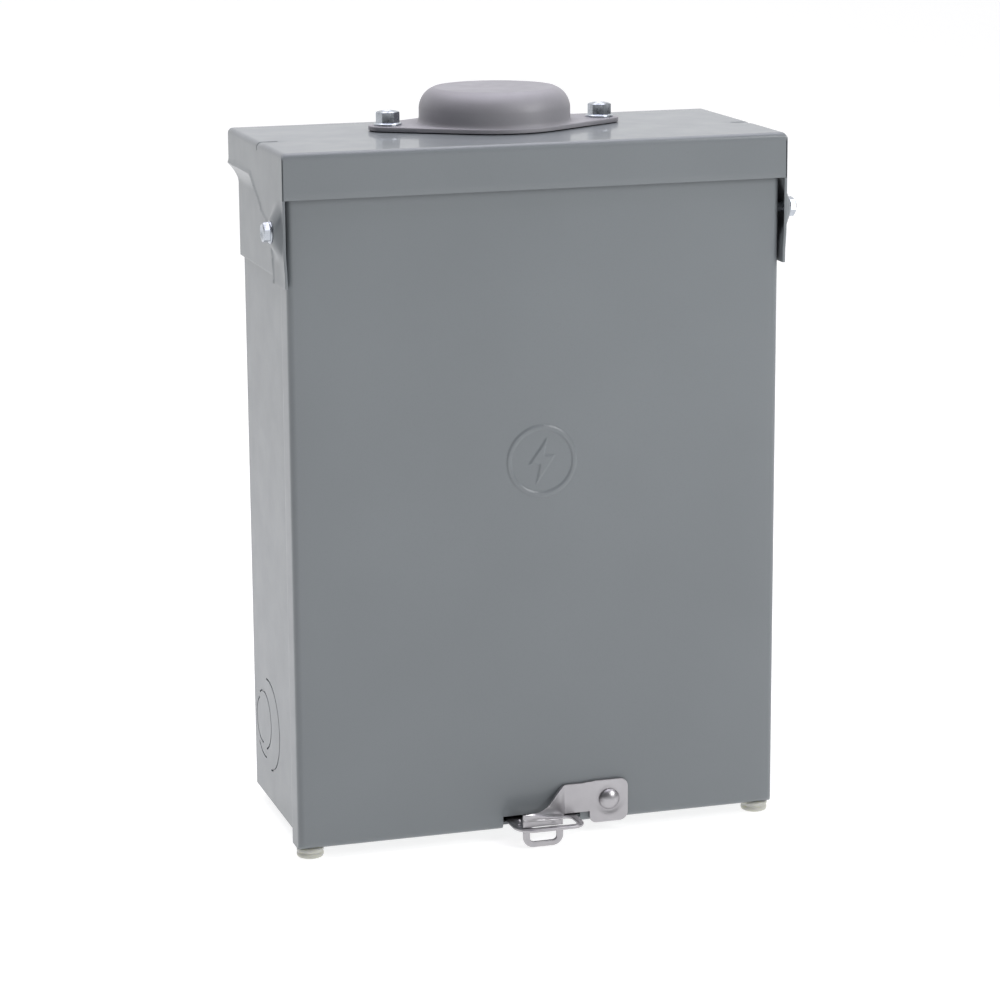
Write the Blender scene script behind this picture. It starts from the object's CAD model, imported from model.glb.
import math
from math import sin, cos, pi, radians, sqrt

import bpy
import bmesh
import numpy as np
from mathutils import Matrix, Vector


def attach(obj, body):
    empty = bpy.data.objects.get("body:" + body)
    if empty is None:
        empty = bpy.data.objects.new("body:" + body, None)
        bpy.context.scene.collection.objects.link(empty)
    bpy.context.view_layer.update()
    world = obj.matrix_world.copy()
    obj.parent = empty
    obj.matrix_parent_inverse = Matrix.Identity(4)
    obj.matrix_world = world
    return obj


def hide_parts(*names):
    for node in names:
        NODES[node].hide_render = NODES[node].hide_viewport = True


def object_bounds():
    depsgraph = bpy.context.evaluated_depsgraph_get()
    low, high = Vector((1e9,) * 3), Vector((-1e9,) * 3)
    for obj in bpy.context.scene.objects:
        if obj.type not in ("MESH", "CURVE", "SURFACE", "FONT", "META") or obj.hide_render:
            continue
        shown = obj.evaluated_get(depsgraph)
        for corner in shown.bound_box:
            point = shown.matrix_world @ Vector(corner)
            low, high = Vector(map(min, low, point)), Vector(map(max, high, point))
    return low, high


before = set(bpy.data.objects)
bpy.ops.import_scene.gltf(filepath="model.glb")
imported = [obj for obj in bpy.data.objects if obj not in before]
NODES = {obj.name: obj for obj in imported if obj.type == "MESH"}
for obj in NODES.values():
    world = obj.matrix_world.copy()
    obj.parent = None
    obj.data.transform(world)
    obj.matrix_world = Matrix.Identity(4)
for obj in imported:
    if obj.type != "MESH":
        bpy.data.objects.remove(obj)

scene = bpy.context.scene
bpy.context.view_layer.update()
MZ = 160.0            # heights below are counted from the cover's lower edge, in mm


# ------------------------------------------------------------------ materials
def tree(name):
    m = bpy.data.materials.new(name)
    m.use_nodes = True
    nt = m.node_tree
    b = nt.nodes["Principled BSDF"]
    return m, nt, b


def noise(nt, scale, detail=3.0, rough=0.55, stretch=(1, 1, 1), shift=0.0):
    tc = nt.nodes.new("ShaderNodeTexCoord")
    mp = nt.nodes.new("ShaderNodeMapping")
    mp.inputs["Scale"].default_value = stretch
    mp.inputs["Location"].default_value = (shift, shift * 0.7, -shift)
    n = nt.nodes.new("ShaderNodeTexNoise")
    n.inputs["Scale"].default_value = scale
    n.inputs["Detail"].default_value = detail
    n.inputs["Roughness"].default_value = rough
    nt.links.new(tc.outputs["Object"], mp.inputs["Vector"])
    nt.links.new(mp.outputs["Vector"], n.inputs["Vector"])
    return n.outputs["Fac"]


def ranged(nt, src, lo, hi, a=0.3, b=0.7):
    r = nt.nodes.new("ShaderNodeMapRange")
    r.inputs["From Min"].default_value = a
    r.inputs["From Max"].default_value = b
    r.inputs["To Min"].default_value = lo
    r.inputs["To Max"].default_value = hi
    nt.links.new(src, r.inputs["Value"])
    return r.outputs["Result"]


def mixed(nt, fac, c0, c1):
    m = nt.nodes.new("ShaderNodeMix")
    m.data_type = "RGBA"
    for i, c in ((6, c0), (7, c1)):
        if hasattr(c, "node"):
            nt.links.new(c, m.inputs[i])
        else:
            m.inputs[i].default_value = (*c, 1)
    if hasattr(fac, "node"):
        nt.links.new(fac, m.inputs[0])
    else:
        m.inputs[0].default_value = fac
    return m.outputs[2]


def bumps(nt, b, parts):
    """parts: (height output, strength, distance)."""
    last = None
    for h, strength, dist in parts:
        n = nt.nodes.new("ShaderNodeBump")
        n.inputs["Strength"].default_value = strength
        n.inputs["Distance"].default_value = dist
        nt.links.new(h, n.inputs["Height"])
        if last is not None:
            nt.links.new(last, n.inputs["Normal"])
        last = n.outputs["Normal"]
    nt.links.new(last, b.inputs["Normal"])


def paint(name, base, rough=0.38, coat=0.34, coat_rough=0.06, peel=0.10, var=0.035):
    m, nt, b = tree(name)
    big = noise(nt, 9, 2.0)
    fine = noise(nt, 1400, 2.0, shift=3.1)
    c0 = tuple(x * (1 - var) for x in base)
    c1 = tuple(min(1, x * (1 + var)) for x in base)
    body = mixed(nt, ranged(nt, big, 0, 1), c0, c1)
    speck = mixed(nt, ranged(nt, fine, 0.0, 0.22, 0.5, 0.75), body, tuple(x * 0.86 for x in base))
    nt.links.new(speck, b.inputs["Base Color"])
    nt.links.new(ranged(nt, noise(nt, 55, 3.0, shift=1.3), rough - 0.03, rough + 0.04), b.inputs["Roughness"])
    b.inputs["Coat Weight"].default_value = coat
    b.inputs["Coat Roughness"].default_value = coat_rough
    b.inputs["Specular IOR Level"].default_value = 0.3
    bumps(nt, b, [(noise(nt, 420, 2.0, shift=0.4), peel, 0.00012), (fine, peel * 0.5, 0.00004)])
    return m


def metal(name, base, rough, metallic=1.0, var=0.08, scale=70, stretch=(1, 1, 1), bump=0.12, bump_scale=900, dist=0.00006, rv=0.05, dark=None):
    m, nt, b = tree(name)
    n1 = noise(nt, scale, 4.0, stretch=stretch)
    c0 = tuple(x * (1 - var) for x in base)
    c1 = tuple(min(1, x * (1 + var)) for x in base)
    col = mixed(nt, ranged(nt, n1, 0, 1), c0, c1)
    if dark is not None:
        col = mixed(nt, ranged(nt, noise(nt, scale * 0.35, 5.0, 0.7, shift=5.0), 0.0, 0.35, 0.52, 0.72), col, dark)
    nt.links.new(col, b.inputs["Base Color"])
    nt.links.new(ranged(nt, noise(nt, scale * 2.3, 3.0, stretch=stretch, shift=2.0), rough - rv, rough + rv), b.inputs["Roughness"])
    b.inputs["Metallic"].default_value = metallic
    bumps(nt, b, [(noise(nt, bump_scale, 3.0, stretch=stretch, shift=1.0), bump, dist)])
    return m


def moulded(name, base, rough, var=0.06, bump=0.15, scale=1200, subsurface=0.0, transmission=0.0):
    m, nt, b = tree(name)
    c0 = tuple(x * (1 - var) for x in base)
    c1 = tuple(min(1, x * (1 + var)) for x in base)
    nt.links.new(mixed(nt, ranged(nt, noise(nt, 40, 3.0), 0, 1), c0, c1), b.inputs["Base Color"])
    nt.links.new(ranged(nt, noise(nt, 160, 3.0, shift=2.0), rough - 0.05, rough + 0.05), b.inputs["Roughness"])
    if subsurface:
        b.inputs["Subsurface Weight"].default_value = subsurface
        b.inputs["Subsurface Radius"].default_value = (0.004, 0.004, 0.003)
        b.inputs["Subsurface Scale"].default_value = 1.0
    if transmission:
        b.inputs["Transmission Weight"].default_value = transmission
    bumps(nt, b, [(noise(nt, scale, 2.0, shift=1.0), bump, 0.00006)])
    return m


def spangled(name):
    m, nt, b = tree(name)
    tc = nt.nodes.new("ShaderNodeTexCoord")
    v = nt.nodes.new("ShaderNodeTexVoronoi")
    v.inputs["Scale"].default_value = 190
    nt.links.new(tc.outputs["Object"], v.inputs["Vector"])
    sep = nt.nodes.new("ShaderNodeSeparateColor")
    nt.links.new(v.outputs["Color"], sep.inputs["Color"])
    nt.links.new(mixed(nt, sep.outputs[0], (0.50, 0.52, 0.54), (0.72, 0.74, 0.76)), b.inputs["Base Color"])
    nt.links.new(ranged(nt, sep.outputs[1], 0.30, 0.48, 0, 1), b.inputs["Roughness"])
    b.inputs["Metallic"].default_value = 1.0
    bumps(nt, b, [(noise(nt, 500, 3.0), 0.15, 0.00008)])
    return m


BASE = (0.190, 0.208, 0.219)
MAT = {
    "grey_paint": paint("grey_enamel", BASE),
    "grey_paint_inner": paint("grey_enamel_inner", (0.205, 0.225, 0.232), rough=0.42, coat=0.2),
    "die_cast": metal("die_cast_zinc", (0.285, 0.28, 0.298), 0.52, metallic=0.15, var=0.05, scale=60, bump=0.35, bump_scale=700, dist=0.00008),
    "gasket": moulded("gasket_rubber", (0.03, 0.03, 0.032), 0.7),
    "zinc_screw": metal("zinc_plate", (0.46, 0.49, 0.53), 0.30, var=0.06, scale=260, bump=0.2, bump_scale=1400, rv=0.07),
    "green_screw": metal("green_chromate", (0.07, 0.30, 0.12), 0.34, metallic=0.6, var=0.12, scale=200),
    "plated_steel": metal("satin_plate", (0.455, 0.445, 0.46), 0.38, var=0.04, scale=90, bump=0.2, bump_scale=800, rv=0.05),
    "vinyl": moulded("clear_vinyl", (0.62, 0.62, 0.57), 0.34, var=0.03, subsurface=0.55, transmission=0.25),
    "galvanized": spangled("galvanized_sheet"),
    "black_moulding": moulded("black_phenolic", (0.028, 0.028, 0.03), 0.45, var=0.15),
    "white_moulding": moulded("white_nylon", (0.70, 0.70, 0.67), 0.42, var=0.03),
    "tinned_aluminium": metal("tin_plate", (0.70, 0.71, 0.71), 0.34, var=0.07, scale=60, stretch=(1, 1, 0.08), bump=0.25, bump_scale=500),
    "copper": metal("copper_strip", (0.78, 0.42, 0.27), 0.32, var=0.1, scale=80, stretch=(1, 1, 0.12), dark=(0.42, 0.21, 0.13)),
    "black_plastic": moulded("black_filler", (0.035, 0.036, 0.038), 0.5, var=0.12),
}
SLOT_NODES = {
    "grey_paint": ["enclosure_body", "bottom_wall", "hood", "cover"],
    "grey_paint_inner": ["deadfront"],
    "die_cast": ["hub_closing_plate"],
    "gasket": ["hub_gasket"],
    "zinc_screw": ["hub_screws", "pivot_screws", "pan_screws", "main_lug_set_screws", "lug_mounting_screws",
                   "neutral_bar_screws", "neutral_lug_set_screw", "neutral_lug_mounting_screw", "ground_bar_screws",
                   "ground_bar_mounting_screws", "deadfront_screws", "staple_rivets"],
    "green_screw": ["bonding_screw"],
    "plated_steel": ["hasp", "hasp_rivet", "padlock_staple"],
    "vinyl": ["cover_bumpers"],
    "galvanized": ["interior_pan", "breaker_rail_left", "breaker_rail_right"],
    "black_moulding": ["bus_insulator"],
    "white_moulding": ["neutral_insulators"],
    "tinned_aluminium": ["bus_bar_a", "bus_bar_b", "neutral_bar", "ground_bar", "main_lug_a", "main_lug_b", "neutral_lug"],
    "copper": ["bonding_strap"],
    "black_plastic": ["deadfront_fillers"],
}
for s, names in SLOT_NODES.items():
    for n in names:
        o = NODES[n]
        o.data.materials.clear()
        o.data.materials.append(MAT[s])


# ------------------------------------------------------------------ mesh helpers (all in mm)
def compact(pts, faces):
    used = sorted({i for f in faces for i in f})
    idx = {k: i for i, k in enumerate(used)}
    return np.asarray(pts, float)[used], [tuple(idx[i] for i in f) for f in faces]


def raw(name, pts, faces, weld=0.002):
    pts, faces = compact(pts, faces)
    me = bpy.data.meshes.new(name)
    v = (pts - np.array([0, 0, MZ])) / 1000.0
    me.from_pydata(v.tolist(), [], [list(f) for f in faces])
    bm = bmesh.new()
    bm.from_mesh(me)
    bmesh.ops.remove_doubles(bm, verts=bm.verts, dist=weld / 1000)
    bmesh.ops.dissolve_degenerate(bm, edges=bm.edges, dist=weld / 2000)
    bmesh.ops.recalc_face_normals(bm, faces=bm.faces)
    bm.to_mesh(me)
    bm.free()
    ob = bpy.data.objects.new(name, me)
    scene.collection.objects.link(ob)
    return ob


def bake(ob):
    dg = bpy.context.evaluated_depsgraph_get()
    me = bpy.data.meshes.new_from_object(ob.evaluated_get(dg))
    ob.modifiers.clear()
    old = ob.data
    ob.data = me
    bpy.data.meshes.remove(old)
    return ob


def cut(ob, cutters):
    for c in cutters:
        m = ob.modifiers.new("cut", "BOOLEAN")
        m.operation = "DIFFERENCE"
        m.solver = "EXACT"
        m.object = c
    bake(ob)
    for c in cutters:
        bpy.data.objects.remove(c)
    return ob


def finish_piece(obs, name, slot, body, nodes=(), bevel=0.0, segs=2, limit=50, smooth=38):
    """Joins raw objects into one piece, rounds its edges, smooths, gives its material, body and slot."""
    if not isinstance(obs, (list, tuple)):
        obs = [obs]
    for o in obs:
        if bevel:
            m = o.modifiers.new("edge", "BEVEL")
            m.width = bevel / 1000
            m.segments = segs
            m.limit_method = "ANGLE"
            m.angle_limit = radians(limit)
            m.use_clamp_overlap = True
            bake(o)
    bm = bmesh.new()
    for o in obs:
        bm.from_mesh(o.data)
    me = bpy.data.meshes.new(name)
    bm.to_mesh(me)
    bm.free()
    for o in obs:
        bpy.data.objects.remove(o)
    me.shade_smooth()
    me.set_sharp_from_angle(angle=radians(smooth))
    me.materials.clear()
    me.materials.append(MAT[slot])
    ob = bpy.data.objects.new(name, me)
    scene.collection.objects.link(ob)
    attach(ob, body)
    if nodes:
        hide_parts(*nodes)
    return ob


def thick(outer, inner, faces):
    n = len(outer)
    F = [tuple(f) for f in faces] + [tuple(i + n for i in reversed(f)) for f in faces]
    edges = {}
    for f in faces:
        for i in range(len(f)):
            edges[(f[i], f[(i + 1) % len(f)])] = 1
    for (a, b) in edges:
        if (b, a) not in edges:
            F.append((b, a, a + n, b + n))
    return np.vstack([outer, inner]), F


def spaced(*marks):
    """marks: value, step, value, step, ..., value."""
    out = [marks[0]]
    for i in range(1, len(marks), 2):
        a, step, b = out[-1], marks[i], marks[i + 1]
        k = max(1, int(round((b - a) / step)))
        out += [a + (b - a) * j / k for j in range(1, k + 1)]
    return out


def sstep(t):
    t = np.clip(t, 0, 1)
    return t * t * (3 - 2 * t)


def cap(A, L, R, T, a_lines, b_lines, side_c, end_c, K=6):
    """A folded sheet cap: a face (a across, b along, c deep), rolled sides, a rolled end and flanges.
    Returns outer and inner points in (a, b, c) and quads."""
    cols = [("s", -1, c) for c in reversed(side_c)]
    cols += [("r", -1, 90.0 * k / K) for k in range(1, K)]
    cols += [("f", 0, a) for a in a_lines]
    cols += [("r", 1, 90.0 * k / K) for k in range(K - 1, 0, -1)]
    cols += [("s", 1, c) for c in side_c]
    rows = [(b, 0.0) for b in b_lines] + [(None, 90.0 * k / K) for k in range(1, K + 1)]
    deep_end = max(end_c)

    def place(col, row, AA, LL, RR, F0, inner):
        kind, sgn, val = col
        b, th = row
        th = radians(th)
        bb = b if b is not None else (L - R) + RR * sin(th)
        if kind == "s":
            if inner and b is None and val > deep_end + 1e-6:
                bb = (L - R) + R * sin(th)
            return (sgn * AA, bb, val)
        if kind == "r":
            ph = radians(val)
            return (sgn * (AA - RR * (1 - cos(ph))), bb, F0 + RR * (1 - sin(ph) * cos(th)))
        return (val, bb, F0 + RR * (1 - cos(th)))

    O, I, F = [], [], []
    ncol, nrow = len(cols), len(rows)
    for row in rows:
        for col in cols:
            O.append(place(col, row, A, L, R, 0.0, False))
            I.append(place(col, row, A - T, L - T, R - T, T, True))
    for j in range(nrow - 1):
        for i in range(ncol - 1):
            F.append((j * ncol + i, j * ncol + i + 1, (j + 1) * ncol + i + 1, (j + 1) * ncol + i))
    # end flange, sharing the side flanges' corner points
    last = (nrow - 1) * ncol
    ns = len(side_c)
    left = {round(c, 4): last + (ns - 1 - k) for k, c in enumerate(side_c)}
    right = {round(c, 4): last + (ncol - ns) + k for k, c in enumerate(side_c)}
    inner_cols = list(range(ns, ncol - ns))
    prev = {i: last + i for i in range(ns - 1, ncol - ns + 1)}
    for c in end_c[1:]:
        cur = {ns - 1: left[round(c, 4)], ncol - ns: right[round(c, 4)]}
        for i in inner_cols:
            cur[i] = len(O)
            O.append((O[last + i][0], L, c))
            I.append((I[last + i][0], L - T, c))
        for i in range(ns - 1, ncol - ns):
            F.append((prev[i], prev[i + 1], cur[i + 1], cur[i]))
        prev = cur
    return np.array(O), np.array(I), F


def masked(P, F, keep):
    c = np.array([np.mean([P[i] for i in f], axis=0) for f in F])
    k = keep(c[:, 0], c[:, 1], c[:, 2])
    return [f for f, ok in zip(F, k) if ok]


def hexfac(al):
    t = (al + pi / 6) % (pi / 3) - pi / 6
    return 1.0 / cos(t)


def lathe(profile, n=72, z_dir=(0, 0, 1), at=(0, 0, 0), turn=0.0, name="lathe"):
    """profile: (r, z[, hexness]) from the axis round to the axis again, about +Z, then turned to z_dir."""
    pts, faces = [], []
    rings = []
    for p in profile:
        r, z = p[0], p[1]
        h = p[2] if len(p) > 2 else 0.0
        if r < 1e-6:
            rings.append([len(pts)])
            pts.append((0, 0, z))
            continue
        ring = []
        for k in range(n):
            al = 2 * pi * k / n
            rr = r * (1 + h * (hexfac(al) - 1))
            ring.append(len(pts))
            pts.append((rr * cos(al + turn), rr * sin(al + turn), z))
        rings.append(ring)
    for a, b in zip(rings, rings[1:]):
        if len(a) == 1 and len(b) == 1:
            continue
        for k in range(n):
            k2 = (k + 1) % n
            if len(a) == 1:
                faces.append((a[0], b[k], b[k2]))
            elif len(b) == 1:
                faces.append((a[k], b[0], a[k2]))
            else:
                faces.append((a[k], b[k], b[k2], a[k2]))
    q = Vector((0, 0, 1)).rotation_difference(Vector(z_dir))
    R = np.array(q.to_matrix())
    return raw(name, np.array(pts) @ R.T + np.array(at), faces)


def arc_pts(cx, cy, r, a0, a1, n=8):
    return [(cx + r * cos(radians(a0 + (a1 - a0) * k / n)), cy + r * sin(radians(a0 + (a1 - a0) * k / n))) for k in range(n + 1)]


def plate(name, loops, t, bevel, to_xyz, res=3):
    """Flat plate with rounded edges from 2-D loops (outer first, then holes). to_xyz maps (u, v, w) in mm, w through the thickness 0..t."""
    cu = bpy.data.curves.new(name, "CURVE")
    cu.dimensions = "2D"
    cu.fill_mode = "BOTH"
    for lp in loops:
        sp = cu.splines.new("POLY")
        sp.points.add(len(lp) - 1)
        for p, (u, v) in zip(sp.points, lp):
            p.co = (u, v, 0, 1)
        sp.use_cyclic_u = True
    cu.extrude = t / 2 - bevel
    cu.bevel_depth = bevel
    cu.bevel_resolution = res
    cu.offset = -bevel
    ob = bpy.data.objects.new(name, cu)
    scene.collection.objects.link(ob)
    dg = bpy.context.evaluated_depsgraph_get()
    me = bpy.data.meshes.new_from_object(ob.evaluated_get(dg))
    bpy.data.objects.remove(ob)
    v = np.zeros(len(me.vertices) * 3)
    me.vertices.foreach_get("co", v)
    v = v.reshape(-1, 3)
    faces = [tuple(p.vertices) for p in me.polygons]
    bpy.data.meshes.remove(me)
    pts = [to_xyz(a, b, c + t / 2) for a, b, c in v]
    return raw(name, np.array(pts), faces)


# ------------------------------------------------------------------ hood
HW, TOP, FRONT, T = 118.65, 321.0, 107.3, 1.2
PRESS = [(30.0, 304.4), (-44.0, 304.4), (-54.4, 297.4), (-63.6, 292.6), (-65.2, 290.0), (-78.5, 285.6), (-84.0, 279.0), (-86.5, 270.0), (-88.6, 240.0), (30.0, 240.0)]
PY, PZ = -97.6, 285.6


def poly_dist(px, pz, poly):
    """Signed distance to a polygon, positive inside."""
    inside = np.zeros(px.shape, bool)
    dist = np.full(px.shape, 1e9)
    n = len(poly)
    for i in range(n):
        x0, z0 = poly[i]
        x1, z1 = poly[(i + 1) % n]
        ex, ez = x1 - x0, z1 - z0
        t = np.clip(((px - x0) * ex + (pz - z0) * ez) / (ex * ex + ez * ez), 0, 1)
        dist = np.minimum(dist, np.hypot(px - x0 - t * ex, pz - z0 - t * ez))
        cond = ((z0 > pz) != (z1 > pz))
        with np.errstate(divide="ignore", invalid="ignore"):
            xi = x0 + (pz - z0) * ex / (ez if abs(ez) > 1e-9 else 1e-9)
        inside ^= cond & (px < xi)
    return np.where(inside, dist, -dist)


def press_depth(y, z):
    """How far the rear of each wing is pressed in towards the body (0 to 4.55), and the distance from the crease."""
    d = poly_dist(y, z, PRESS)
    w = np.where(y > -50, 9.0, np.clip(9.0 + (y + 50) * 0.12, 5.0, 9.0))
    t = np.clip(d / w, 0, 1)
    return 4.55 * (1 - (1 - t) ** 2.0 * (1 + 0.4 * t)), d


def hood_shape(O, P):
    out = P.copy()
    y, z = -O[:, 1], TOP - O[:, 2]
    side = O[:, 2] > 2.39
    wing = side & (np.abs(O[:, 0]) > HW - 0.01)
    x_rel = np.zeros(len(O))
    pd, dd = press_depth(y, z)
    base = -pd + 0.55 * np.exp(-((dd + 0.5) / 1.0) ** 2)
    r = np.hypot(y - PY, z - PZ)
    cone = 3.25 - np.maximum(r - 6.2, 0) * 0.55
    k = 0.45
    both = np.logaddexp(base / k, cone / k) * k
    both = np.where(cone < base - 4, base, both)
    both = np.where(r < 6.2, 3.25, both)
    lift = np.where(z > 300.5, base, np.minimum(both, 3.25))
    x_rel = np.where(wing, lift, 0)
    # keep the open front edge straight: the ear's outer skin stays at the plane near the front
    edge = sstep((-y - 104.6) / 2.4)
    x_rel = np.where(x_rel > 0, x_rel * (1 - edge), x_rel)
    # the front edge leans in slightly towards its foot
    x_rel = x_rel - np.where(wing, 0.55 * sstep((278.0 - z) / 14.0) * sstep((-y - 90.0) / 15.0), 0)
    out[:, 0] += np.sign(O[:, 0]) * x_rel
    # slight crown of the top, and soft dents beside the side slits
    top = (O[:, 2] < 0.001)
    crown = 0.0 * O[:, 0]
    slit = np.exp(-((np.abs(O[:, 0]) - 113.0) / 6.0) ** 2 - ((y + 62.6) / 2.6) ** 2)
    out[:, 2] += np.where(top | (O[:, 2] < 2.4), crown + 0.5 * slit, 0)
    # butt seam between the lip and each wing's folded edge
    seam = (np.abs(np.abs(O[:, 0]) - 118.33) < 0.02) & (np.abs(O[:, 1] - FRONT) < 1e-3) & (O[:, 2] > 3.3)
    out[:, 1] -= np.where(seam, 0.85, 0)
    # soft rolled bead just under the front bend and a light inward roll at the lip's foot
    lip = (np.abs(O[:, 1] - FRONT) < 1e-3) & (np.abs(O[:, 0]) < 116.7) & (O[:, 2] > 2.39) & (O[:, 2] < 20.8)
    out[:, 1] -= np.where(lip, 0.35 * sstep((3.6 - O[:, 2]) / 1.2) * 0 + 0.25 * sstep((O[:, 2] - 18.2) / 2.5), 0)
    return out


a_l = sorted(set(spaced(-116.25, 1.6, -108.99, 6, -63, 3.5, 63, 6, 108.99, 1.6, 116.25)) | {-109.0, 109.0})
a_l = sorted(set([-116.25, 116.25]) | set(a_l))
b_l = spaced(0, 1.2, 59.4, 0.8, 60.2, 1.2, 104.9)
side_c = spaced(2.4, 0.9, 3.7, 1.15, 20.7, 0.05, 20.75, 0.95, 59.8)
end_c = [c for c in side_c if c <= 20.701]
O, I, F = cap(HW, FRONT, 2.4, T, a_l, b_l, side_c, end_c)
# extra columns for the seam are made by moving the roll's own points
for P in (O, I):
    pass
O2, I2 = hood_shape(O, O), hood_shape(O, I)
F = masked(O, F, lambda a, b, c: ~((b > 59.4) & (b < 60.2) & (c < 3.7) & (np.abs(a) > 109.0)))
pts, faces = thick(O2, I2, F)
to = lambda P: np.column_stack([P[:, 0], -P[:, 1], TOP - P[:, 2]])
hood_o = raw("hood_raw", to(pts), faces)
hole = lathe([(0, 310), (30, 310), (30, 330), (0, 330)], n=96, at=(0, -37.5, 0), name="c1")
cut(hood_o, [hole])


def box_mesh(x0, x1, y0, y1, z0, z1, name="b"):
    v = [(x, y, z) for x in (x0, x1) for y in (y0, y1) for z in (z0, z1)]
    f = [(0, 1, 3, 2), (4, 6, 7, 5), (0, 4, 5, 1), (2, 3, 7, 6), (0, 2, 6, 4), (1, 5, 7, 3)]
    return raw(name, np.array(v), f)


rear = [box_mesh(-108.7, 108.7, -2.8, -1.6, 303.0, 320.0)]
for s in (-1, 1):
    rear.append(box_mesh(*sorted((s * 112.9, s * 117.5)), -1.3, -0.02, 305.2, 318.3))
hood = finish_piece([hood_o] + rear, "hood_skin", "grey_paint", "enclosure", ["hood"], bevel=0.28, limit=55)

# ------------------------------------------------------------------ cover
CW, CF, CTOP, CR = 116.3, -104.3, 316.0, 3.0
EX, EZ, ER = 1.0, 175.2, 16.6
BOLT = [(2.6, 10.6), (-6.2, -1.4), (-0.8, -1.4), (-2.8, -10.8), (6.4, 2.4), (0.9, 2.4)]


def cover_shape(O, P):
    out = P.copy()
    x, z = O[:, 0], CTOP - O[:, 1]
    face = (O[:, 2] < 0.001) & (O[:, 1] < CTOP - CR + 0.01)
    r = np.hypot(x - EX, z - EZ)
    ring = 1.0 - np.clip((np.abs(r - (ER - 1.0)) - 0.6) / 0.7, 0, 1)
    bolt = np.clip((poly_dist(x - EX, z - EZ, BOLT) + 0.3) / 0.7, 0, 1)
    em = sstep(np.maximum(ring, bolt)) * 0.55
    # the panel is very slightly full in the middle, and the sheet's oil-canning is just visible in the gloss
    u, v = x / CW, (z - CTOP / 2) / (CTOP / 2)
    pillow = 0.30 * (1 - u ** 2) * (1 - v ** 2)
    can = 0.05 * np.sin(x / 31.0 + 1.2) * np.sin(z / 43.0 + 0.4) + 0.035 * np.sin(x / 17.0 - z / 23.0)
    out[:, 2] -= np.where(face, em + (pillow + can * (1 - u ** 4) * (1 - v ** 4)), 0)
    return out


fine = 0.4
a_l = spaced(-CW + CR, 5, -18.4, fine, 19.5, 5, CW - CR)
b_l = spaced(0, 3, CTOP - 293.6, 5, CTOP - EZ - 19, fine, CTOP - EZ + 19, 5, CTOP - 6.4, 1.7, CTOP - CR)
side_c = spaced(CR, 1.0, 13.3)
O, I, F = cap(CW, CTOP, CR, 1.2, a_l, b_l, side_c, side_c)
O2, I2 = cover_shape(O, O), cover_shape(O, I)


def cover_keep(a, b, c):
    z = CTOP - b
    gone = (c > CR) & (z > 293.6)
    gone |= (a > -18.4) & (a < 19.5) & (z < 6.4)
    return ~gone


F = masked(O, F, cover_keep)
pts, faces = thick(O2, I2, F)
to = lambda P: np.column_stack([P[:, 0], CF + P[:, 2], CTOP - P[:, 1]])
cov = raw("cover_raw", to(pts), faces)
holes = [lathe([(0, 0), (2.46, 0), (2.46, 8), (0, 8)], n=40, z_dir=(s, 0, 0), at=(s * 112.0, PY, PZ), name="c%d" % s) for s in (-1, 1)]
cut(cov, holes)
cover = finish_piece(cov, "cover_skin", "grey_paint", "cover", ["cover"], bevel=0.3, limit=55)

# ------------------------------------------------------------------ hub closing plate
HUBY = -37.5


def hub_outline(rc, re, step=1.0):
    """Points round the hull of the round centre and the two small ears."""
    d = 51.5
    al = math.acos((rc - re) / d)       # tangent angle from the ear axis
    pts = []
    for base in (0, pi):
        c = d * cos(base)
        a0, a1 = base - al, base + al
        n = max(8, int(re * 2 * al / (step * 0.6)))
        ear = [(c + re * cos(a0 + (a1 - a0) * k / n), re * sin(a0 + (a1 - a0) * k / n)) for k in range(n + 1)]
        pts += ear
        b0, b1 = base + al, base + pi - al
        start = (rc * cos(b0), rc * sin(b0))
        L = np.hypot(ear[-1][0] - start[0], ear[-1][1] - start[1])
        m = int(L / step)
        pts += [(ear[-1][0] + (start[0] - ear[-1][0]) * k / m, ear[-1][1] + (start[1] - ear[-1][1]) * k / m) for k in range(1, m)]
        n = max(8, int(rc * (b1 - b0) / step))
        pts += [(rc * cos(b0 + (b1 - b0) * k / n), rc * sin(b0 + (b1 - b0) * k / n)) for k in range(n + 1)]
        end = pts[-1]
        c2 = d * cos(base + pi)
        nxt = (c2 + re * cos(base + pi - al), re * sin(base + pi - al))
        L = np.hypot(nxt[0] - end[0], nxt[1] - end[1])
        m = int(L / step)
        pts += [(end[0] + (nxt[0] - end[0]) * k / m, end[1] + (nxt[1] - end[1]) * k / m) for k in range(1, m)]
    out = []
    for p in pts:
        if not out or np.hypot(p[0] - out[-1][0], p[1] - out[-1][1]) > 0.15:
            out.append(p)
    if np.hypot(out[0][0] - out[-1][0], out[0][1] - out[-1][1]) < 0.15:
        out.pop()
    return np.array(out)


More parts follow.
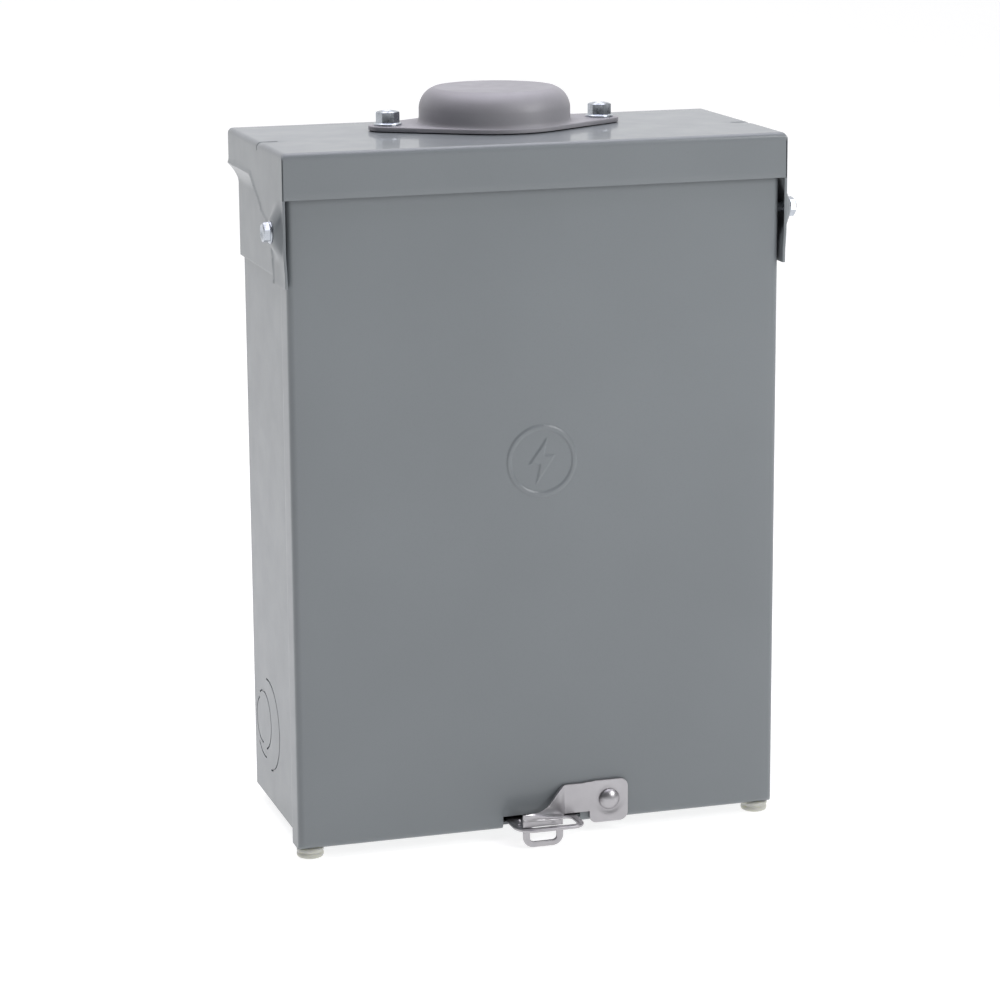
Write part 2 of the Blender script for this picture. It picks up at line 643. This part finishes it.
def hub_mesh():
    ol = hub_outline(36.6, 9.0)
    ang = np.arctan2(ol[:, 1], ol[:, 0])
    rad = np.hypot(ol[:, 0], ol[:, 1])
    n = len(ol)
    g1, f1, top = 321.5, 323.6, 339.6
    prof = []       # (radius or None, share of outline, z)
    prof += [(0.001, 0, top - 0.3), (8, 0, top - 0.28), (16, 0, top - 0.2), (24, 0, top - 0.08), (27.6, 0, top - 0.02), (28.3, 0, top - 0.06)]
    prof += [(25.8 + 9.5 * sin(radians(t)), 0, 329.4 + 10.4 * cos(radians(t))) for t in range(19, 91, 6)]
    prof += [(35.3, 0, 327.0), (35.35, 0, 325.4), (35.5, 0, 324.5), (35.85, 0, 323.9), (36.0, 0, 323.72)]
    rings = []
    for r, _, z in prof:
        rings.append([(r, a, z) for a in ang])
    # flange top, from the cup's foot to the outline, and its rounded edge
    for share in (0.25, 0.5, 0.75):
        rings.append([(36.0 + (max(R - 0.7, 36.05) - 36.0) * share, a, f1 + 0.12 * (1 - share)) for R, a in zip(rad, ang)])
    for t in (0, 30, 60, 90):
        rings.append([(R - 0.5 + 0.5 * sin(radians(t)), a, f1 - 0.5 + 0.5 * cos(radians(t))) for R, a in zip(rad, ang)])
    rings.append([(R, a, g1 + 0.2) for R, a in zip(rad, ang)])
    rings.append([(R - 0.25, a, g1) for R, a in zip(rad, ang)])
    for r, z in ((32.4, g1), (32.4, 329.4), (31.6, 333.2), (29.6, 335.4), (24.8, 337.0), (10, 337.0), (0.001, 337.0)):
        rings.append([(r, a, z) for a in ang])
    pts = [(r * cos(a), HUBY + r * sin(a), z) for ring in rings for r, a, z in ring]
    faces = []
    for j in range(len(rings) - 1):
        for k in range(n):
            k2 = (k + 1) % n
            faces.append((j * n + k, (j + 1) * n + k, (j + 1) * n + k2, j * n + k2))
    c0, c1 = len(pts), len(pts) + 1
    pts += [(0, HUBY, top - 0.55), (0, HUBY, 337.0)]
    last = (len(rings) - 1) * n
    # the innermost rings collapse to a point when doubles are removed
    return raw("hub_raw", np.array(pts), faces, weld=0.004)


hub = finish_piece(hub_mesh(), "hub_plate", "die_cast", "enclosure", ["hub_closing_plate"], smooth=45)


# ------------------------------------------------------------------ hex washer-head screws
def hex_profile(wr, wt, af, h, shank, length):
    a = af / 2
    return [(0, h - 0.75), (a * 0.45, h - 0.7), (a * 0.66, h - 0.25), (a * 0.74, h - 0.03), (a * 0.80, h, 0.1), (a * 0.93, h - 0.12, 0.3),
            (a, h - 0.55, 0.9), (a, h - 0.9, 1.0), (a, wt + 0.5, 1.0), (a * 1.04, wt + 0.12, 0.8), (a * 1.16, wt + 0.02, 0.3),
            (wr - 0.35, wt * 0.82), (wr - 0.08, wt * 0.62), (wr, wt * 0.4), (wr - 0.06, 0.12), (wr - 0.2, 0.0),
            (shank, 0.0), (shank, -length), (0, -length - shank * 0.4)]


obs = [lathe(hex_profile(6.5, 1.3, 9.5, 6.6, 2.8, 13.0), n=96, at=(s * 51.5, HUBY, 323.6), turn=t, name="h%d" % s) for s, t in ((-1, 0.30), (1, 0.12))]
finish_piece(obs, "hub_screw_pair", "zinc_screw", "enclosure", ["hub_screws"], smooth=30)
obs = [lathe(hex_profile(5.1, 1.0, 8.0, 4.0, 2.4, 14.0), n=96, z_dir=(s, 0, 0), at=(s * 121.9, PY, PZ), turn=t, name="p%d" % s) for s, t in ((-1, 0.35), (1, 0.2))]
finish_piece(obs, "pivot_screw_pair", "zinc_screw", "enclosure", ["pivot_screws"], smooth=30)

# ------------------------------------------------------------------ bumpers
prof = [(0, -0.02), (5.2, -0.02), (6.0, -0.25), (6.3, -0.7), (6.28, -1.6), (6.0, -2.1), (6.02, -2.5), (6.25, -3.0), (6.28, -3.9), (5.95, -4.6), (5.2, -4.95), (3.4, -5.0), (2.6, -4.6), (0, -4.4)]
obs = [lathe(prof, n=64, at=(s * 109.6, -97.4, 0), name="f%d" % s) for s in (-1, 1)]
finish_piece(obs, "bumper_pair", "vinyl", "cover", ["cover_bumpers"], smooth=50)

# ------------------------------------------------------------------ hasp
HY = -106.15
RVX, RVZ = 33.4, 10.4


def hasp_mesh():
    cols = []
    xs = [42.5, 42.35, 42.0, 41.4, 40.6, 39.6, 38.5] + list(np.linspace(37.8, 27.2, 16)) + [26.7, 25.6, 24.7, 24.1, 23.78, 23.7]
    nw = 27
    w = np.linspace(0, 1, nw)
    for x in xs:
        zt, zb = 20.1, -0.5
        if x > 38.5:
            d = 4 - sqrt(max(0, 16 - (x - 38.5) ** 2))
            zt -= d
            zb += d
        if x < 26.7:
            zb += 3 - sqrt(max(0, 9 - (26.7 - x) ** 2))
            zt -= 0.3 * (26.7 - x) / 3.0
        cols.append([(x, HY, zt + (zb - zt) * t) for t in w])
    for x in (23.62, 22.5, 20.5, 18.5, 16.5, 14.5, 12.8):
        cols.append([(x, HY, (19.8 if x > 22 else 19.5) + (5.4 - (19.8 if x > 22 else 19.5)) * t) for t in w])
    # curved ramp from the neck's left end forward and down to the blade
    top = np.array([(11.4, -106.15, 19.5), (10.2, -106.7, 18.9), (8.6, -107.6, 17.6), (6.56, -108.8, 16.0), (3.7, -111.0, 13.8), (0.6, -113.5, 12.25), (-4.4, -116.9, 11.35), (-8.9, -118.6, 11.3), (-13.3, -119.2, 11.2)])
    low = np.array([(11.4, -106.15, 5.4), (11.0, -106.9, 5.5), (10.4, -108.2, 5.9), (9.7, -110.0, 6.4), (8.8, -112.3, 7.0), (7.9, -114.6, 7.7), (7.0, -116.9, 8.2), (6.4, -118.4, 8.3), (6.0, -119.2, 8.1)])
    m = 26
    def along(P, t):
        s = np.concatenate([[0], np.cumsum(np.linalg.norm(np.diff(P, axis=0), axis=1))])
        s /= s[-1]
        # smooth cubic through the points
        out = np.zeros(3)
        k = min(int(np.searchsorted(s, t, "right")) - 1, len(P) - 2)
        u = (t - s[k]) / (s[k + 1] - s[k])
        p0, p1, p2, p3 = P[max(k - 1, 0)], P[k], P[k + 1], P[min(k + 2, len(P) - 1)]
        return 0.5 * ((2 * p1) + (-p0 + p2) * u + (2 * p0 - 5 * p1 + 4 * p2 - p3) * u * u + (-p0 + 3 * p1 - 3 * p2 + p3) * u ** 3)
    N0 = np.array([(11.4, HY, 19.5 + (5.4 - 19.5) * t) for t in w])
    N1 = np.array([(-13.3 + 19.3 * t, -119.2, 11.2 - 3.1 * t) for t in w])
    for j in range(m + 1):
        v = j / m
        E0, E1 = along(top, v), along(low, v)
        col = []
        for i, t in enumerate(w):
            q = (1 - v) * N0[i] + v * N1[i] + (1 - t) * E0 + t * E1
            q = q - ((1 - v) * ((1 - t) * N0[0] + t * N0[-1]) + v * ((1 - t) * N1[0] + t * N1[-1]))
            col.append(tuple(q))
        cols.append(col)
    # blade, with a pressed bead under the bend and a half-oval emboss
    zb = 5.1
    for j in range(1, 13):
        v = j / 12
        col = []
        for i, t in enumerate(w):
            x = -13.3 + 19.3 * t
            z0 = 11.2 - 3.1 * t
            z = z0 + (zb - z0) * v
            col.append((x, -119.2, z))
        cols.append(col)
    P = np.array(cols)            # (ncol, nw, 3)
    # surface normals
    du = np.gradient(P, axis=0)
    dv = np.gradient(P, axis=1)
    nrm = np.cross(du, dv)
    nrm /= np.linalg.norm(nrm, axis=2)[..., None] + 1e-12
    nf = len(xs) + 7
    if nrm[3, 10, 1] > 0:
        nrm = -nrm
    nrm[:nf] = (0, -1, 0)
    nrm[-12:] = (0, -1, 0)
    for k in range(1, len(nrm) - 1):      # soften normals across the folds
        pass
    sm = nrm.copy()
    for _ in range(3):
        sm[1:-1] = (sm[:-2] + sm[1:-1] * 2 + sm[2:]) / 4
        sm /= np.linalg.norm(sm, axis=2)[..., None]
    sm[:nf - 1] = (0, -1, 0)
    inner = P - sm * 1.5
    outer = P.copy()
    # dish round the rivet
    r = np.hypot(P[..., 0] - RVX, P[..., 2] - RVZ)
    flat = np.zeros(P.shape[:2], bool)
    flat[:nf] = True
    dish = 0.55 * (1 - sstep((r - 5.0) / 3.2))
    outer[..., 1] += np.where(flat, dish, 0)
    # bead and emboss on the blade
    bl = np.zeros(P.shape[:2], bool)
    bl[-13:] = True
    zz, xx = P[..., 2], P[..., 0]
    zl = 8.75 - (xx + 13.3) * 0.055
    bead = 0.38 * np.exp(-((zz - zl) / 0.42) ** 2) * (xx < 4.9)
    half = 0.45 * (1 - sstep((np.hypot((xx - 2.4) / 2.4, (zz - 5.5) / 1.35) - 0.6) / 0.45))
    outer[..., 1] += np.where(bl, bead, 0)
    outer[..., 1] -= np.where(bl, np.minimum(half, 0.3), 0)
    nc = len(cols)
    idx = lambda i, j: i * nw + j
    F = [(idx(i, j), idx(i + 1, j), idx(i + 1, j + 1), idx(i, j + 1)) for i in range(nc - 1) for j in range(nw - 1)]
    pts, faces = thick(outer.reshape(-1, 3), inner.reshape(-1, 3), F)
    return raw("hasp_raw", pts, faces)


finish_piece(hasp_mesh(), "hasp_plate", "plated_steel", "hasp", ["hasp"], bevel=0.28, limit=60, smooth=42)

# rivet
prof = [(0, 2.42)]
prof += [(6.3 * sin(radians(t)), 6.3 * cos(radians(t)) - 3.88) for t in (6, 12, 18, 24, 30, 36, 42, 47, 51)]
prof += [(4.98, -0.12), (4.9, -0.35), (4.6, -0.5), (2.5, -0.5), (2.5, -3.2), (4.2, -3.2), (4.2, -4.0), (3.6, -4.4), (0, -4.45)]
riv = lathe(prof, n=72, z_dir=(0, -1, 0), at=(RVX, -106.2, RVZ), name="rv")
finish_piece(riv, "hasp_rivet_head", "plated_steel", "cover", ["hasp_rivet"], smooth=45)

# ------------------------------------------------------------------ staple and its ring
SX0, SX1, SF, SZ0, SZ1 = -16.6, 16.9, -122.4, 3.2, 4.7
outl = [(SX0, -86.0), (SX0, -113.5)] + arc_pts(SX0 + 8.9, -113.5, 8.9, 180, 270, 12) + arc_pts(SX1 - 6.2, SF + 6.2, 6.2, 270, 360, 10) + [(SX1, -105.0), (SX1 - 1.6, -101.0), (SX1 - 1.6, -86.0)]
slot_l = arc_pts(-6.6, -109.9, 2.4, 90, 180, 6) + arc_pts(-6.6, -117.0, 2.4, 180, 270, 6) + arc_pts(SX1 - 5.6, -116.6, 2.6, 270, 360, 6) + arc_pts(SX1 - 5.6, -109.9, 2.4, 0, 90, 6)
st = plate("st", [outl, list(reversed(slot_l))], SZ1 - SZ0, 0.5, lambda u, v, w: (u, v, SZ0 + w))
RX0, RX1, RZ0, RZ1 = -13.3, 6.2, -4.7, 4.4
ro = [(RX0, RZ1), (RX0, RZ0 + 5.0)] + arc_pts(RX0 + 5.0, RZ0 + 5.0, 5.0, 180, 270, 10) + arc_pts(RX1 - 5.0, RZ0 + 5.0, 5.0, 270, 360, 10) + [(RX1, RZ1)]
ri = [(RX0 + 3.3, RZ1 - 1.3), (RX0 + 3.3, RZ0 + 4.6)] + arc_pts(RX0 + 5.2, RZ0 + 4.6, 1.9, 180, 270, 6) + arc_pts(RX1 - 5.2, RZ0 + 4.6, 1.9, 270, 360, 6) + [(RX1 - 3.3, RZ0 + 4.6), (RX1 - 3.3, RZ1 - 1.3)]
rg = plate("rg", [ro, list(reversed(ri))], 1.5, 0.5, lambda u, v, w: (u, -119.5 + w, v))
dots = [lathe([(0, 0.75), (0.5, 0.68), (0.85, 0.4), (1.0, 0), (0.9, -0.2), (0, -0.2)], n=24, at=(x, y, SZ1), name="d%d" % i) for i, (x, y) in enumerate(((-11.6, -107.4), (-13.6, -113.6)))]
finish_piece([st, rg] + dots, "staple_plate", "plated_steel", "enclosure", ["padlock_staple"], smooth=40)

# ------------------------------------------------------------------ floor, light, camera
lo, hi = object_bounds()
floor_z = lo.z - 0.0002


def stage_sheet():
    pts, n = [], 24
    prof = [(-9.0, 0.0), (-3.0, 0.0), (0.0, 0.0), (1.6, 0.0)]
    prof += [(1.6 + 1.6 * sin(radians(a)), 1.6 - 1.6 * cos(radians(a))) for a in range(10, 91, 10)]
    prof += [(3.2, 4.0), (3.2, 9.0)]
    me = bpy.data.meshes.new("backdrop")
    v = [(x, y, z + floor_z) for y, z in prof for x in (-9, 9)]
    f = [(2 * i, 2 * i + 1, 2 * i + 3, 2 * i + 2) for i in range(len(prof) - 1)]
    me.from_pydata(v, [], f)
    me.shade_smooth()
    ob = bpy.data.objects.new("backdrop", me)
    scene.collection.objects.link(ob)
    m = bpy.data.materials.new("pale_sweep")
    m.use_nodes = True
    nt = m.node_tree
    b = nt.nodes["Principled BSDF"]
    b.inputs["Base Color"].default_value = (0.40, 0.40, 0.40, 1)
    b.inputs["Roughness"].default_value = 0.9
    b.inputs["Specular IOR Level"].default_value = 0.1
    b.inputs["Emission Color"].default_value = (1, 1, 1, 1)
    b.inputs["Emission Strength"].default_value = 0.80
    me.materials.append(m)


stage_sheet()


def area(name, loc, target, size, size_y, power, color=(1, 1, 1), spread=None):
    d = bpy.data.lights.new(name, "AREA")
    d.shape = "RECTANGLE"
    d.size, d.size_y = size, size_y
    d.energy = power
    d.color = color
    o = bpy.data.objects.new(name, d)
    scene.collection.objects.link(o)
    o.location = loc
    o.rotation_mode = "QUATERNION"
    o.rotation_quaternion = (Vector(target) - Vector(loc)).to_track_quat("-Z", "Y")
    return o


mid = (0.0, -0.05, 0.0)
area("key_top", (0.0, 0.1, 1.5), mid, 1.8, 1.6, 26, (0.94, 0.915, 1.0))
area("side_left", (-2.2, -0.5, 0.6), mid, 2.4, 2.0, 0.12, (0.98, 0.98, 1.0))
area("front_right", (0.85, -1.0, 0.72), (0.03, -0.1, 0.08), 0.7, 0.7, 10.2, (1.0, 1.0, 1.0))
area("front_low", (-0.5, -2.2, -0.05), mid, 1.6, 0.6, 1.2, (1.0, 1.0, 1.0))

w = bpy.data.worlds.new("studio")
scene.world = w
w.use_nodes = True
bg = w.node_tree.nodes["Background"]
bg.inputs["Color"].default_value = (0.93, 0.95, 1.0, 1)
bg.inputs["Strength"].default_value = 0.10
# the studio behind the sweep is plain white to the eye and dim as a light
wt = w.node_tree
white = wt.nodes.new("ShaderNodeBackground")
white.inputs["Color"].default_value = (0.97, 0.975, 0.98, 1)
lp = wt.nodes.new("ShaderNodeLightPath")
mxs = wt.nodes.new("ShaderNodeMixShader")
wt.links.new(lp.outputs["Is Camera Ray"], mxs.inputs[0])
wt.links.new(bg.outputs[0], mxs.inputs[1])
wt.links.new(white.outputs[0], mxs.inputs[2])
wt.links.new(mxs.outputs[0], wt.nodes["World Output"].inputs["Surface"])

scene.view_settings.view_transform = "Standard"
scene.view_settings.look = "None"
scene.view_settings.exposure = 0.0
scene.view_settings.gamma = 1.0

# camera, solved from the object's own edges
F_PX = 3279.55
yaw, pitch, roll = 0.2974035, 0.2273922, -0.0065255
sy_, cy_, sp, cp, sr, cr = sin(yaw), cos(yaw), sin(pitch), cos(pitch), sin(roll), cos(roll)
fwd = Vector((sy_ * cp, cy_ * cp, -sp))
right = Vector((cy_, -sy_, 0))
up = right.cross(fwd)
r2 = cr * right + sr * up
u2 = -sr * right + cr * up
cam_d = bpy.data.cameras.new("camera")
cam_d.sensor_fit = "HORIZONTAL"
cam_d.sensor_width = 36.0
cam_d.lens = F_PX * 36.0 / 1000.0
cam_d.clip_start, cam_d.clip_end = 0.05, 60
cam = bpy.data.objects.new("camera", cam_d)
scene.collection.objects.link(cam)
CAM_POS = Vector((-0.4464, -1.4988, 0.3358))
mw = Matrix(((r2.x, u2.x, -fwd.x, CAM_POS.x), (r2.y, u2.y, -fwd.y, CAM_POS.y), (r2.z, u2.z, -fwd.z, CAM_POS.z), (0, 0, 0, 1)))
cam.matrix_world = mw
scene.camera = cam

bpy.context.view_layer.update()
